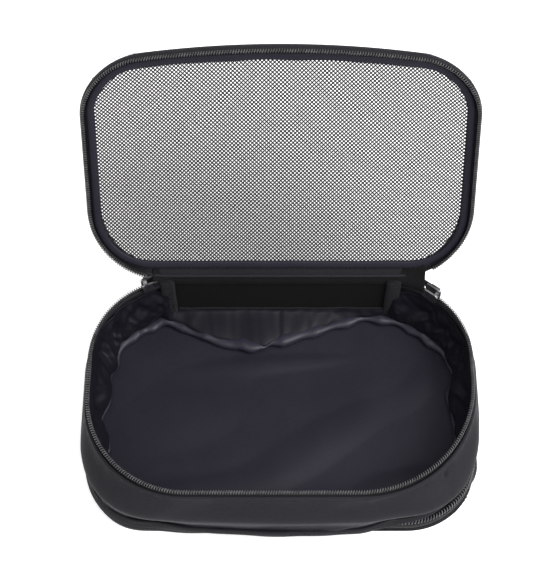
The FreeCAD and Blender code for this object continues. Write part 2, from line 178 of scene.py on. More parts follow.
RIM = Outline(116.6, 72, -68.2, (52, 61, 71, 52))
RIM_OUTSIDE = Outline(118.6, 72.6, -70.8, (54, 61, 70, 54))
BELLY = Outline(124.4, 72.8, -80.5, (55, 50, 52, 55))
WAIST = Outline(122.2, 73.0, -76.0, (53, 40, 52, 53))
BASE = Outline(119.4, 72, -70.2, (50, 36, 44, 50), 1.2)
BASE_OUTSIDE = Outline(122.8, 74.4, -73.4, (51, 38, 46, 51), 1.6)
DIVIDER = Outline(119, 69, -71, (49, 46, 50, 49))
LID_EDGE = Outline(118.2, 2.6, -145.0, (46, 36, 36, 46))
LID_RIM = Outline(117.2, 1.4, -143.9, (45, 35, 35, 45))
NET_EDGE = Outline(111.3, -7.9, -137.8, (31, 29, 29, 31))
LID_BOW = 6.5 * MM        # how far the lid's free edge falls back at the bow's place
LID_BOW_PLACE = 90 * MM
LID_HINGE_WIDTH = 0.985    # the lid's width at its hinge, as a share of its width in front


def smooth(value):
    value = np.clip(value, 0, 1)
    return value * value * (3 - 2 * value)


def ripple(x, y, z, scale):
    """Smooth noise from -1 to 1 at each point, the same on every run."""
    flat = [
        noise.noise((a * scale, b * scale, c * scale + NOISE_SEED))
        for a, b, c in zip(np.ravel(x), np.ravel(y), np.ravel(z))
    ]
    return np.array(flat).reshape(np.shape(x))


# ---- meshes

def mesh_object(name, vertices, faces, uvs=None):
    """A new object; uvs has one (u, v) for each corner of each face, in order."""
    mesh = bpy.data.meshes.new(name)
    mesh.from_pydata(np.asarray(vertices, float).tolist(), [], faces)
    if uvs is not None:
        layer = mesh.uv_layers.new(name="cloth")
        layer.data.foreach_set("uv", np.asarray(uvs, np.float32).ravel())
    mesh.shade_smooth()
    made = bpy.data.objects.new(name, mesh)
    bpy.context.scene.collection.objects.link(made)
    return made


def grid(name, points, closed_along=False, closed_across=False, capped=False):
    """A skin over rows and columns of points, with cloth coordinates in metres on it."""
    points = np.asarray(points, float)
    rows, columns = points.shape[:2]
    last_row = rows if closed_across else rows - 1
    last_column = columns if closed_along else columns - 1
    ring = np.roll(points, -1, axis=1)
    steps = np.linalg.norm(ring - points, axis=2).mean(axis=0)
    along = np.concatenate([[0], np.cumsum(steps)])
    stack = np.roll(points, -1, axis=0)
    rises = np.linalg.norm(stack - points, axis=2).mean(axis=1)
    across = np.concatenate([[0], np.cumsum(rises)])
    faces, uvs = [], []
    for row in range(last_row):
        above = (row + 1) % rows
        for column in range(last_column):
            beside = (column + 1) % columns
            faces.append((row * columns + column, row * columns + beside,
                          above * columns + beside, above * columns + column))
            u0, u1 = along[column], along[column + 1]
            v0, v1 = across[row], across[row + 1]
            uvs += [(u0, v0), (u1, v0), (u1, v1), (u0, v1)]
    if capped:
        for column, order in ((0, 1), (columns - 1, -1)):
            cap = [row * columns + column for row in range(rows)][::order]
            faces.append(tuple(cap))
            uvs += [(0, across[row]) for row in range(rows)]
    return mesh_object(name, points.reshape(-1, 3), faces, uvs)


def joined(x, y, z):
    """Points from X, Y and Z, each an array or one number."""
    return np.stack(np.broadcast_arrays(x, y, z), axis=-1)


def swept(name, outlines, stations, profile, closed=False, shift=None):
    """A closed section carried round an outline, or round the one outlines(height) gives. The
    profile is (offset, height) points in metres; shift(points, normals) may move the points."""
    rows, normals = [], []
    for offset, height in profile:
        outline = outlines(height) if callable(outlines) else outlines
        x, y, normal_x, normal_y = outline.at(stations)
        rows.append(joined(x + normal_x * offset, y + normal_y * offset, height))
        normals.append(joined(normal_x, normal_y, 0))
    points = np.stack(rows)
    if shift:
        points = shift(points, normals[0])
    return grid(name, points, closed_along=closed, closed_across=True, capped=not closed)


def tube(name, sides, section, closed=False):
    """A roll: section(cosine, sine) is the line of points at each place round it."""
    angles = 2 * math.pi * np.arange(sides) / sides
    rows = np.stack([section(math.cos(angle), math.sin(angle)) for angle in angles])
    return grid(name, rows, closed_along=closed, closed_across=True, capped=not closed)


def oval(centre, height, half_thick, half_tall, sides=12, power=1.0):
    """The (offset, height) points of an oval section, squarer for a power below 1."""
    angles = np.linspace(0, 2 * math.pi, sides, endpoint=False)
    cosines, sines = np.cos(angles), np.sin(angles)
    return [
        (centre + half_thick * math.copysign(abs(c) ** power, c),
         height + half_tall * math.copysign(abs(s) ** power, s))
        for c, s in zip(cosines, sines)
    ]


def thicken(made, thickness, outwards=-1):
    """Gives a skin the thickness of its cloth."""
    solid = made.modifiers.new("thickness", "SOLIDIFY")
    solid.thickness = thickness
    solid.offset = outwards
    solid.use_even_offset = False
    apply_modifiers(made)


def apply_modifiers(made):
    """Makes what the modifiers show the object's own mesh."""
    graph = bpy.context.evaluated_depsgraph_get()
    graph.update()
    mesh = bpy.data.meshes.new_from_object(made.evaluated_get(graph))
    made.modifiers.clear()
    made.data = mesh


def subdivide(made):
    modifier = made.modifiers.new("subdivision", "SUBSURF")
    modifier.levels = modifier.render_levels = 1
    apply_modifiers(made)


def to_lid(made):
    """Bows a piece made in the lid's own frame and moves it to where the open lid is."""
    co = coordinates_of(made)
    reach = np.clip(-co[:, 1] / -LID_EDGE.front, 0, 1)
    co[:, 1] += LID_BOW * (co[:, 0] / LID_BOW_PLACE) ** 2 * reach ** 2
    co[:, 0] *= LID_HINGE_WIDTH + (1 - LID_HINGE_WIDTH) * reach
    move_to(made, co)
    made.data.transform(LID_FRAME)
    return made


def coordinates_of(made):
    co = np.zeros(len(made.data.vertices) * 3)
    made.data.vertices.foreach_get("co", co)
    return co.reshape(-1, 3)


def move_to(made, co):
    made.data.vertices.foreach_set("co", co.ravel())
    made.data.update()


CLOTH = {"vertex_group_mass": "pinned", "quality": 7, "mass": 0.12, "tension_stiffness": 18,
         "compression_stiffness": 18, "shear_stiffness": 6, "air_damping": 3}


def settle(made, pinned, growth, reach, frames, gravity, bending):
    """Lets a skin hang as cloth that is cut larger than its frame by growth, pinned at the
    given vertices, and keeps the shape it comes to, at most reach away from its pattern."""
    pattern = coordinates_of(made)
    made.vertex_groups.new(name="pinned").add(pinned, 1.0, "REPLACE")
    cloth = made.modifiers.new("cloth", "CLOTH")
    for key, value in CLOTH.items():
        setattr(cloth.settings, key, value)
    cloth.settings.bending_stiffness = bending
    cloth.settings.shrink_min = -growth
    cloth.settings.effector_weights.gravity = gravity
    cloth.collision_settings.use_collision = False
    cloth.point_cache.frame_start, cloth.point_cache.frame_end = 1, frames
    for step in range(1, frames + 1):
        bpy.context.scene.frame_set(step)
    apply_modifiers(made)
    made.vertex_groups.clear()
    bpy.context.scene.frame_set(1)
    moved = coordinates_of(made) - pattern
    length = np.maximum(np.linalg.norm(moved, axis=1), 1e-9)
    eased = reach * np.tanh(length / reach)
    move_to(made, pattern + moved * (eased / length)[:, None])


# ---- materials

class Nodes:
    """Short names for building one material's nodes."""

    def __init__(self, name):
        self.material = bpy.data.materials.new(name)
        self.material.use_nodes = True
        self.tree = self.material.node_tree
        self.tree.nodes.clear()
        self.output = self.tree.nodes.new("ShaderNodeOutputMaterial")
        self.shader = self.tree.nodes.new("ShaderNodeBsdfPrincipled")
        self.link(self.shader.outputs[0], self.output.inputs[0])

    def link(self, start, end):
        self.tree.links.new(start, end)

    def add(self, kind, **values):
        node = self.tree.nodes.new(kind)
        for key, value in values.items():
            setattr(node, key, value)
        return node

    def math(self, operation, first, second):
        node = self.add("ShaderNodeMath", operation=operation)
        for place, value in enumerate((first, second)):
            if isinstance(value, (int, float)):
                node.inputs[place].default_value = value
            else:
                self.link(value, node.inputs[place])
        return node.outputs[0]

    def added(self, first, second, share):
        """The first value and a share of the second."""
        return self.math("ADD", first, self.math("MULTIPLY", second, share))

    def varied(self, value, spread, middle):
        """A value from 0 to 1, brought to a spread about a middle."""
        return self.math("ADD", self.math("MULTIPLY", value, spread), middle - spread / 2)

    def threads(self, pitch, *bands):
        """Bands on the cloth: each (direction, count) gives count of them in ten pitches."""
        place = self.coordinates("UV", 1 / (pitch * WAVES_PER_UNIT * 10))
        return [self.wave(place, direction, count * WAVES_PER_UNIT) for direction, count in bands]

    def coordinates(self, kind="Object", scale=1.0):
        source = self.add("ShaderNodeTexCoord")
        mapping = self.add("ShaderNodeMapping")
        mapping.inputs["Scale"].default_value = (scale, scale, scale)
        self.link(source.outputs[kind], mapping.inputs["Vector"])
        return mapping.outputs[0]

    def noise(self, vector, scale, detail=3.0, roughness=0.55):
        node = self.add("ShaderNodeTexNoise")
        node.inputs["Scale"].default_value = scale
        node.inputs["Detail"].default_value = detail
        node.inputs["Roughness"].default_value = roughness
        self.link(vector, node.inputs["Vector"])
        return node.outputs["Fac"]

    def wave(self, vector, direction, scale):
        node = self.add("ShaderNodeTexWave", wave_type="BANDS", bands_direction=direction)
        node.inputs["Scale"].default_value = scale
        self.link(vector, node.inputs["Vector"])
        return node.outputs["Fac"]

    def ramp(self, value, dark, light, start=0.0, end=1.0):
        node = self.add("ShaderNodeValToRGB")
        node.color_ramp.elements[0].position = start
        node.color_ramp.elements[0].color = (*dark, 1)
        node.color_ramp.elements[1].position = end
        node.color_ramp.elements[1].color = (*light, 1)
        self.link(value, node.inputs[0])
        return node.outputs[0]

    def bump(self, height, strength, distance, below=None):
        node = self.add("ShaderNodeBump")
        node.inputs["Strength"].default_value = strength
        node.inputs["Distance"].default_value = distance
        self.link(height, node.inputs["Height"])
        if below:
            self.link(below, node.inputs["Normal"])
        return node.outputs[0]

    def finish(self, colour, normal, roughness, **sockets):
        self.link(colour, self.shader.inputs["Base Color"])
        self.link(normal, self.shader.inputs["Normal"])
        if isinstance(roughness, float):
            self.shader.inputs["Roughness"].default_value = roughness
        else:
            self.link(roughness, self.shader.inputs["Roughness"])
        for name, value in sockets.items():
            self.shader.inputs[name.replace("_", " ")].default_value = value
        return self.material


WAVES_PER_UNIT = 2 * math.pi / 20   # a Wave texture of scale 1 has this many bands per unit
COOL, WHITE = (0.75, 0.75, 1.0, 1), (1, 1, 1, 1)


def woven(name, dark, light, pitch, roughness, sheen, weave, specular, slub=0.6, tint=COOL):
    """Plain-woven cloth: crossing threads at a pitch in metres, slubs and faint creasing."""
    nodes = Nodes(name)
    warp, weft = nodes.threads(pitch, ("X", 10), ("Y", 10))
    relief = nodes.added(nodes.math("MAXIMUM", warp, weft), nodes.math("MULTIPLY", warp, weft), -0.6)
    place = nodes.coordinates()
    slubs = nodes.noise(place, 900.0, 2.0)
    creases = nodes.noise(place, 38.0, 4.0, 0.6)
    patches = nodes.noise(place, 14.0)
    mixed = nodes.added(nodes.math("MULTIPLY", slubs, slub), patches, 1 - slub)
    colour = nodes.ramp(mixed, dark, light, 0.3, 0.7)
    normal = nodes.bump(relief, weave, pitch * 0.16, nodes.bump(creases, 0.18, 0.0016))
    return nodes.finish(colour, normal, nodes.varied(patches, 0.16, roughness), Sheen_Weight=sheen,
                        Sheen_Roughness=0.35, Sheen_Tint=tint, Specular_IOR_Level=specular)


def ribbed_tape(name, dark, light, pitch):
    """Binding or zip tape: ribs across it and a fine weave. Its colour is darker between the ribs as
    painted shade, and speckled at random.
    """
    nodes = Nodes(name)
    ribs, fine = nodes.threads(pitch, ("X", 10), ("Y", 22))
    speckle = nodes.noise(nodes.coordinates(), 700.0, 2.0)
    # Half the colour follows the ribs' height and is painted shade, darker in the grooves. The other half
    # is random speckle.
    painted_rib_shade_and_speckle = nodes.added(nodes.math("MULTIPLY", ribs, 0.5), speckle, 0.5)
    colour = nodes.ramp(painted_rib_shade_and_speckle, dark, light, 0.2, 0.8)
    normal = nodes.bump(nodes.added(ribs, fine, 0.35), 0.7, pitch * 0.2)
    return nodes.finish(colour, normal, 0.7, Sheen_Weight=0.03, Sheen_Roughness=0.4,
                        Specular_IOR_Level=0.12)


def moulded(name, dark, light, roughness=0.38, specular=0.5):
    """Drawn nylon, of the zip coils and the net: slightly glossy, lighter where it is worn."""
    nodes = Nodes(name)
    place = nodes.coordinates()
    colour = nodes.ramp(nodes.noise(place, 260.0), dark, light, 0.35, 0.7)
    normal = nodes.bump(nodes.noise(place, 2400.0, 2.0), 0.12, 0.0001)
    return nodes.finish(colour, normal, roughness, Specular_IOR_Level=specular)


def metal(name, dark, light, roughness):
    """Plated die casting: cloudy reflections and fine pits."""
    nodes = Nodes(name)
    place = nodes.coordinates()
    cloud = nodes.noise(place, 320.0, 4.0)
    colour = nodes.ramp(cloud, dark, light, 0.3, 0.7)
    normal = nodes.bump(nodes.noise(place, 1500.0, 2.0), 0.1, 0.0002)
    return nodes.finish(colour, normal, nodes.varied(cloud, 0.2, roughness), Metallic=1.0)


def thread(name, dark, light):
    """Twisted sewing thread."""
    nodes = Nodes(name)
    twist = nodes.noise(nodes.coordinates(), 1800.0, 2.0)
    colour = nodes.ramp(twist, dark, light, 0.3, 0.7)
    return nodes.finish(colour, nodes.bump(twist, 0.5, 0.00015), 0.6, Specular_IOR_Level=0.15)


NYLON = woven("nylon", (0.0105, 0.0100, 0.0122), (0.0175, 0.0168, 0.0205), 0.5 * MM,
              roughness=0.6, sheen=0.025, weave=0.35, specular=0.10)
SATIN = woven("satin_floor", (0.0115, 0.0106, 0.0160), (0.0185, 0.0172, 0.0250), 0.3 * MM,
              roughness=0.4, sheen=0.012, weave=0.12, slub=0.35, specular=0.085)
# Painted shade: the side lining gets the floor's satin in a darker colour, standing in for the shade that
# the walls and the lid cast on it.
SHADE_DARKENED_SATIN = woven("satin_lining_painted_shade", (0.0060, 0.0056, 0.0082), (0.0100, 0.0094, 0.0135), 0.3 * MM,
               roughness=0.4, sheen=0.01, weave=0.12, slub=0.35, specular=0.08)
# Partly painted highlight: the roll at the floor's edge gets the same satin in a lighter colour to stand
# in for highlights. Its higher specular level is a real shader setting.
SATIN_EDGE_PAINTED_HIGHLIGHT = woven("satin_edge_painted_highlight", (0.013, 0.012, 0.020), (0.022, 0.021, 0.032), 0.3 * MM,
                   roughness=0.38, sheen=0.02, weave=0.10, slub=0.35, specular=0.2)
BACKING = woven("matte_backing", (0.006, 0.006, 0.0065), (0.010, 0.010, 0.0108), 0.6 * MM,
                roughness=0.85, sheen=0.02, weave=0.3, specular=0.05, tint=WHITE)
TAPE = ribbed_tape("zip_tape", (0.006, 0.006, 0.0065), (0.016, 0.0155, 0.018), 0.8 * MM)
BINDING = ribbed_tape("binding_tape", (0.006, 0.006, 0.007), (0.024, 0.0235, 0.027), 1.0 * MM)
NET = moulded("net_yarn", (0.012, 0.012, 0.013), (0.03, 0.03, 0.033), roughness=0.6,
              specular=0.2)
COIL = moulded("zip_coil", (0.045, 0.045, 0.048), (0.125, 0.125, 0.13))
METAL = metal("slider_metal", (0.20, 0.20, 0.205), (0.42, 0.42, 0.43), roughness=0.32)
PULL = metal("pull_metal", (0.03, 0.03, 0.032), (0.08, 0.08, 0.085), roughness=0.4)
THREAD = thread("thread", (0.008, 0.008, 0.009), (0.022, 0.021, 0.025))


def dress(made, material, body, slot, *replaced):
    """Gives a finished piece its material and its CAD body, and hides the CAD parts it replaces. The slot
    is not used.
    """
    made.data.materials.clear()
    made.data.materials.append(material)
    if body:
        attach(made, body)
    if replaced:
        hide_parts(*replaced)
    return made


# ---- zip and stitches

def coil(name, outline, gaps, height, body, node, semi=(1.0, 1.3), phase=0.0, shift=None,
         pitch=RIM_PITCH, wire=RIM_WIRE):
    """One side of a coil zip: a wire wound along the tape's edge. semi has half the width and
    half the height of a turn in millimetres; phase is a share of a turn."""
    steps, sides = 10, 5
    start = outline.start_beyond(gaps[0])
    end = float(outline.lengths().sum()) - outline.start_beyond(gaps[1], 1)
    turn = np.arange(int((end - start) / pitch) * steps + 1) / steps
    x, y, normal_x, normal_y = outline.at(outline.station_at(start + turn * pitch))
    centre, outward = joined(x, y, height), joined(normal_x, normal_y, 0)
    if shift:
        centre = shift(centre, outward)
    angle = 2 * math.pi * (turn + phase)
    half_thick, half_tall = semi[0] * MM, semi[1] * MM
    spoke = (outward * np.cos(angle)[:, None] * half_thick
             + np.array([0.0, 0.0, 1.0]) * np.sin(angle)[:, None] * half_tall)
    line = centre + spoke
    forward = np.gradient(line, axis=0)
    forward /= np.linalg.norm(forward, axis=1)[:, None]
    side = np.cross(forward, spoke)
    side /= np.linalg.norm(side, axis=1)[:, None]
    lift = np.cross(side, forward)
    made = tube(name, sides, lambda cosine, sine: line + (side * cosine + lift * sine) * wire)
    if body == "lid":
        to_lid(made)
    return dress(made, COIL, body, "zip_coil", node)


def zip_tape(name, outline, stations, height, half_tall, body, node, offset=0.4 * MM, shift=None):
    """The woven tape that carries a coil."""
    section = oval(offset, height, 0.45 * MM, half_tall, 10, 0.5)
    made = swept(name, outline, stations, section, shift=shift)
    if body == "lid":
        to_lid(made)
    return dress(made, TAPE, body, "zip_tape", node)


def stitches(name, body, points, outward, radius=0.2 * MM):
    """A row of stitches along a line of points, each a short rounded thread."""
    length, pitch, sides, look_ahead = 2.0 * MM, 3.0 * MM, 6, 0.2 * MM
    shares, girths = (-0.5, -0.36, 0.0, 0.36, 0.5), (0.45, 0.9, 1.0, 0.9, 0.45)
    steps = np.linalg.norm(np.diff(points, axis=0), axis=1)
    distance = np.concatenate([[0], np.cumsum(steps)])

    def along(line, at):
        return np.array([np.interp(at, distance, line[:, axis]) for axis in range(3)])

    vertices, faces = [], []
    for index in range(int(distance[-1] / pitch)):
        first = len(vertices)
        for share, girth in zip(shares, girths):
            at = (index + 0.5) * pitch + share * length
            centre, out = along(points, at), along(outward, at)
            ahead = along(points, at + look_ahead) - centre
            ahead /= max(np.linalg.norm(ahead), 1e-9)
            beside = np.cross(ahead, out)
            lift = centre + out * radius * (1.2 - 2.4 * abs(share)) * 0.6
            for side in range(sides):
                around = 2 * math.pi * side / sides
                spoke = out * math.cos(around) + beside * math.sin(around)
                vertices.append(lift + spoke * radius * girth)
        last = len(vertices) - sides
        for ring in range(first, last, sides):
            for side in range(sides):
                a, b = ring + side, ring + (side + 1) % sides
                faces.append((a, b, b + sides, a + sides))
        faces += [tuple(reversed(range(first, first + sides))), tuple(range(last, last + sides))]
    return dress(mesh_object(name, vertices, faces), THREAD, body, "binding_tape")


def ring_line(outline, stations, height, offset):
    """Points at a height along an outline, and their outward directions."""
    x, y, normal_x, normal_y = outline.at(stations)
    points = joined(x + normal_x * offset, y + normal_y * offset, height)
    return points, joined(normal_x, normal_y, 0)


def soften(points, normals, scale, out, up=0.0):
    """Lets a swept piece wander in and out, up and down, by up to so many millimetres."""
    wave = ripple(points[0, :, 0], points[0, :, 1], points[0, :, 2], scale)
    points = points + normals * wave[:, None] * out * MM
    points[..., 2] += wave * up * MM
    return points


def rim_sag(x, y):
    """How far the soft rim hangs down: most in the middle of the front."""
    deepest = 2.4 * MM
    front = smooth((0.030 - y) / 0.100)
    return deepest * front * (0.75 + 0.25 * np.cos(x / 0.060))


def sunk(points, _normals=None):
    """Lowers a piece's points with the soft rim."""
    return points - joined(0, 0, rim_sag(points[..., 0], points[..., 1]))


# ---- main body

def front_corner(x, y, side, start, width, front, depth):
    """1 in the front corner on a side, falling to 0 over a width and a depth (millimetres)."""
    return (smooth((side * x - start * MM) / (width * MM))
            * smooth((front * MM - y) / (depth * MM)))


def pull(x, y, z):
    """How far the cloth stands out from its outline at a place, in metres: it is
    drawn in at both front corners above the lower zip, and full in the middle between them."""
    right = front_corner(x, y, 1, 46, 34, -8, 35)
    left = front_corner(x, y, -1, 50, 35, -20, 30)
    middle = np.exp(-((x - 4 * MM) / (52 * MM)) ** 2) * smooth((-40 * MM - y) / (20 * MM))
    drawn = np.interp(z, [11 * MM, 16 * MM, 19 * MM, 26 * MM, 48 * MM], [0, 0.55, 1, 0.9, 0])
    full = np.interp(z, [14 * MM, 17 * MM, 26 * MM, 50 * MM], [0, 1, 0.9, 0])
    return ((-8.5 * right - 4.0 * left) * drawn + 3.6 * middle * full) * MM


def drawn_in(points, normals):
    """Moves a piece's points in or out with the wall's cloth."""
    return points + normals * pull(points[..., 0], points[..., 1], points[..., 2])[..., None]


def wall_outline(height):
    """The wall's outer outline at a height: waist, belly, then in to the rim."""
    belly_height = 0.040
    if height < belly_height:
        share = smooth((height - WALL_BOTTOM) / (belly_height - WALL_BOTTOM))
        return WAIST.mixed(BELLY, float(share))
    share = (height - belly_height) / (WALL_TOP - belly_height)
    return BELLY.mixed(RIM_OUTSIDE, float(smooth(share) * 0.6 + share * 0.4))


def wall_points(stations, heights, offset):
    """Rows of points on the wall, an offset outside its outline and sagging at the rim."""
    rows = []
    for height in heights:
        x, y, normal_x, normal_y = wall_outline(height).at(stations)
        out = offset + pull(x, y, height)
        level = height - rim_sag(x, y) * smooth((height - 0.038) / 0.018)
        rows.append(joined(x + normal_x * out, y + normal_y * out, level))
    return np.stack(rows)


def front_wall():
    """The outer wall: one long gusset, full and a little creased."""
    columns, rows = 300, 22
    stations = RIM.stations(columns, BACK_HALF + 0.3 * MM)
    heights = np.linspace(WALL_BOTTOM - 1.5 * MM, WALL_TOP, rows)
    points = wall_points(stations, heights, -0.6 * MM)
    made = grid("wall_outer", points)
    settle(made, edge_indices(columns, rows), growth=0.018, reach=1.3 * MM, frames=22,
           gravity=0.6, bending=0.3)
    press_creases(made)
    thicken(made, 1.1 * MM)
    subdivide(made)
    dress(made, NYLON, "main_body", "wall_fabric", "front_side_wall")


# Creases pressed into the outer wall: start and end as (x, z), depth and half width.
CREASES = (
    ((62, 57), (24, 49), 1.6, 3.0),
    ((98, 57), (101, 44), -1.3, 2.6),
    ((-40, 56), (-74, 46), 1.0, 4.0),
    ((-10, 28), (40, 31), -1.0, 4.0),
)


def press_creases(made):
    """Moves the front wall's points out or in along each crease."""
    co = coordinates_of(made)
    normals = np.array([vertex.normal[:] for vertex in made.data.vertices])
    if normals[:, 1].mean() > 0:
        normals = -normals
    front = smooth((-0.020 - co[:, 1]) / 0.020)
    for start, end, depth, width in CREASES:
        begin = np.array(start) * MM
        run = np.array(end) * MM - begin
        flat = co[:, [0, 2]] - begin
        share = np.clip(flat @ run / (run @ run), 0, 1)
        away = np.linalg.norm(flat - share[:, None] * run, axis=1)
        fade = np.sin(np.pi * np.clip(share * 0.9 + 0.08, 0, 1)) ** 0.5
        push = depth * MM * fade * np.exp(-(away / (width * MM)) ** 2) * front
        co += normals * push[:, None]
    move_to(made, co)


def waist_hem():
    """The folded hem that hangs over the lower zip, with a row of stitching."""
    stations = WAIST.stations(300, BACK_HALF + 1.5 * MM)
    middle, half = (HEM_BOTTOM + HEM_TOP) / 2, (HEM_TOP - HEM_BOTTOM) / 2

    def flared(height):
        return WAIST.grown((HEM_TOP - height) * 0.1)

    def shift(points, normals):
        return drawn_in(soften(points, normals, 55.0, 0.7, 0.5), normals)

    profile = oval(-0.3 * MM, middle - 0.5 * MM, 1.1 * MM, half + 0.9 * MM, 14, 0.7)
    made = swept("waist_hem_fold", flared, stations, profile, shift=shift)
    dress(made, NYLON, "main_body", "wall_fabric", "waist_hem")
    line, out = ring_line(WAIST, stations, middle, 0.95 * MM)
    stitches("hem_stitches", "main_body", drawn_in(line, out), out)


def rim_zip():
    """The zip tape that stands out of the wall's top edge, its coil and its stitching."""
    stations = RIM.stations(320, BACK_HALF + 2 * MM)
    bottom, top = (corner.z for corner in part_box("rim_zip_tape"))
    zip_tape("rim_tape", RIM, stations, (bottom + top) / 2, (top - bottom) / 2 + 0.4 * MM,
             "main_body", "rim_zip_tape", shift=sunk)
    coil("rim_coil", RIM, (BACK_HALF + 5 * MM, BACK_HALF + 12 * MM), RIM_COIL, "main_body",
         "rim_zip_coil", shift=sunk)
    fold = oval(-0.2 * MM, WALL_TOP - 0.3 * MM, 1.2 * MM, 1.3 * MM, 12, 0.8)
    made = swept("rim_fold", RIM_OUTSIDE.grown(-0.7 * MM), stations, fold, shift=sunk)
    dress(made, NYLON, "main_body", "wall_fabric")
    line, out = ring_line(RIM_OUTSIDE, stations, WALL_TOP - 2.2 * MM, -0.2 * MM)
    stitches("rim_stitches", "main_body", sunk(line), out, radius=0.16 * MM)


def skirt_inset(x, y):
    """How far the loose lining comes in over the floor at a place on its outline."""
    places = np.array([-95, -78, -62, -49, -30, -14, -10, -6, 6, 30, 52, 66, 80, 95]) * MM
    insets = np.array([7, 4, 9, 17, 21, 23.5, 25, 22, 18, 10, 3.5, 3.0, 6, 8]) * MM
    back = np.interp(x, places, insets)
    side = 9.5 * MM + 2.2 * MM * np.sin(y / 0.011 + x * 9) + 1.4 * MM * np.sin(y / 0.0047)
    share = smooth((y - 0.030) / 0.025)
    return back * share + side * (1 - share)


def ridges(x, y, scale):
    """Sharp-crested folds from 0 to 1 at each point, as gathered cloth makes."""
    return 1 - np.minimum(abs(ripple(x, y, np.zeros_like(x), scale)) * 2.2, 1)


def lining():
    """The satin lining of the side walls, slack at its foot where it is gathered."""
    columns, rows = 520, 34
    stations = RIM.stations(columns)
    x, y, normal_x, normal_y = DIVIDER.at(stations)
    at_back = smooth((y - 0.060) / 0.006) * smooth((BACK_HALF + 3 * MM - abs(x)) / 0.006)
    inset = skirt_inset(x, y)
    top = (WALL_TOP - 3.2 * MM) * (1 - at_back) + (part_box("back_seam_tape")[1].z - MM) * at_back
    foot = FLOOR_TOP + 4.2 * MM
    run = np.cumsum(np.hypot(np.diff(x, append=x[0]), np.diff(y, append=y[0])))
    skins = []
    for row in range(rows):
        share = row / (rows - 1)
        height = top * (1 - share) + foot * share
        reach = smooth((share - 0.25) / 0.75) ** 1.2
        lie = np.array([wall_outline(float(level)).at(station)
                        for level, station in zip(height, stations)])
        stand = -(2.0 + 2.8 * smooth(share / 0.3)) * MM
        stand = stand + np.minimum(pull(lie[:, 0], lie[:, 1], height), 0)
        wall_x = lie[:, 0] + lie[:, 2] * stand
        wall_y = np.minimum(lie[:, 1] + lie[:, 3] * stand, BACK_INSIDE - 0.8 * MM)
        edge_x, edge_y = x - normal_x * inset, y - normal_y * inset
        slant = run + height * 0.9
        folds = ridges(slant, height * 0.45, 62.0) * 3.4 * MM
        folds += ridges(slant - height * 1.6, height * 0.5 + 1, 120.0) * 1.5 * MM
        folds *= 0.12 + 0.88 * math.sin(math.pi * min(1.0, share * 0.92 + 0.02)) ** 0.8
        folds *= 1 - 0.6 * at_back
        point_x = wall_x * (1 - reach) + edge_x * reach - normal_x * folds
        point_y = wall_y * (1 - reach) + edge_y * reach - normal_y * folds
        level = height + folds * 0.7 * share
        level = level - rim_sag(x, y) * (1 - share) * (1 - at_back)
        skins.append(joined(point_x, point_y, np.maximum(level, FLOOR_TOP + MM)))
    tuck = skins[-1] + joined(normal_x, normal_y, 0) * 3.5 * MM
    tuck[:, 2] = FLOOR_TOP + 0.9 * MM
    skins.append(tuck)
    made = grid("side_lining", np.stack(skins), closed_along=True)
    thicken(made, 0.5 * MM, 1)
    # The lining's darker satin is painted shade.
    dress(made, SHADE_DARKENED_SATIN, "main_body", "satin_fabric")
    return stations, inset, run


def floor_edge(stations, inset, run):
    """The bound edge of the lining where it lies on the floor: uneven, pinched in places."""
    x, y, normal_x, normal_y = DIVIDER.at(stations)
    back = smooth((y - 0.035) / 0.020)
    pinch = 1 - 0.45 * np.exp(-((x + 0.010) / 0.004) ** 2) * (y > 0.02)
    pinch *= 0.7 + 0.5 * ridges(run, x * 0, 46.0)
    lift = FLOOR_TOP + (2.6 + 1.6 * back * ridges(run, x * 0 + 2, 40.0)) * MM
    sway = inset + (0.8 + 2.0 * ripple(run, x * 0 + 4, x * 0, 75.0)) * MM

    def section(cosine, sine):
        out = cosine * (1.2 + 3.0 * back) * MM * pinch
        rise = sine * (1.2 + 1.2 * back) * MM * pinch
        return joined(x - normal_x * (sway - out), y - normal_y * (sway - out), lift + rise)

    made = tube("floor_edge_binding", 14, section, closed=True)
    # The roll's lighter satin colour is a painted highlight.
    dress(made, SATIN_EDGE_PAINTED_HIGHLIGHT, "main_body", "satin_fabric", "floor_binding")


def disc_points(outline, columns, rows):
    """A grid that fills an outline: square in the middle, bent to the outline's edge."""
    lengths = outline.lengths()
    ends = np.concatenate([[0], np.cumsum(lengths)])
    corners = [7, 1, 3, 5, 7]
    marks = ends[corners] + 0.5 * lengths[corners]      # the middle of each corner
    marks[0] -= ends[-1]
    middle_x, half_width = (outline.left + outline.right) / 2, (outline.right - outline.left) / 2
    middle_y, half_depth = (outline.back + outline.front) / 2, (outline.back - outline.front) / 2
    a, b = np.meshgrid(2 * np.arange(columns) / (columns - 1) - 1,
                       2 * np.arange(rows) / (rows - 1) - 1)
    ring = np.maximum(abs(a), abs(b))
    side = np.select([b == ring, a == -ring, b == -ring], [0, 1, 2], 3)
    share = (1 + np.choose(side, [-a, -b, a, b]) / np.where(ring == 0, 1, ring)) / 2
    distance = marks[side] + (marks[side + 1] - marks[side]) * share
    x, y, _, _ = outline.at(outline.station_at(distance))
    blend = ring ** 2
    edge_x, edge_y = (x - middle_x) * ring + middle_x, (y - middle_y) * ring + middle_y
    return joined((middle_x + a * half_width) * (1 - blend) + edge_x * blend,
                  (middle_y + b * half_depth) * (1 - blend) + edge_y * blend, 0.0)


def edge_indices(columns, rows):
    """The indices of a grid's outermost points."""
    inner = {row * columns + column for row in range(1, rows - 1)
             for column in range(1, columns - 1)}
    return [index for index in range(rows * columns) if index not in inner]


# Slow swells of the floor lining: centre x and y, direction in degrees, half length and half
# width along and across it, and height.
SWELLS = (
    (-62, -2, 20, 46, 26, 3.4),
    (20, -25, 33, 64, 16, 3.4),
    (92, 22, 62, 30, 12, 1.6),
    (6, 34, 4, 60, 8, 2.2),
    (-58, -52, 8, 46, 9, 2.8),
    (74, -46, 14, 34, 9, 3.0),
)


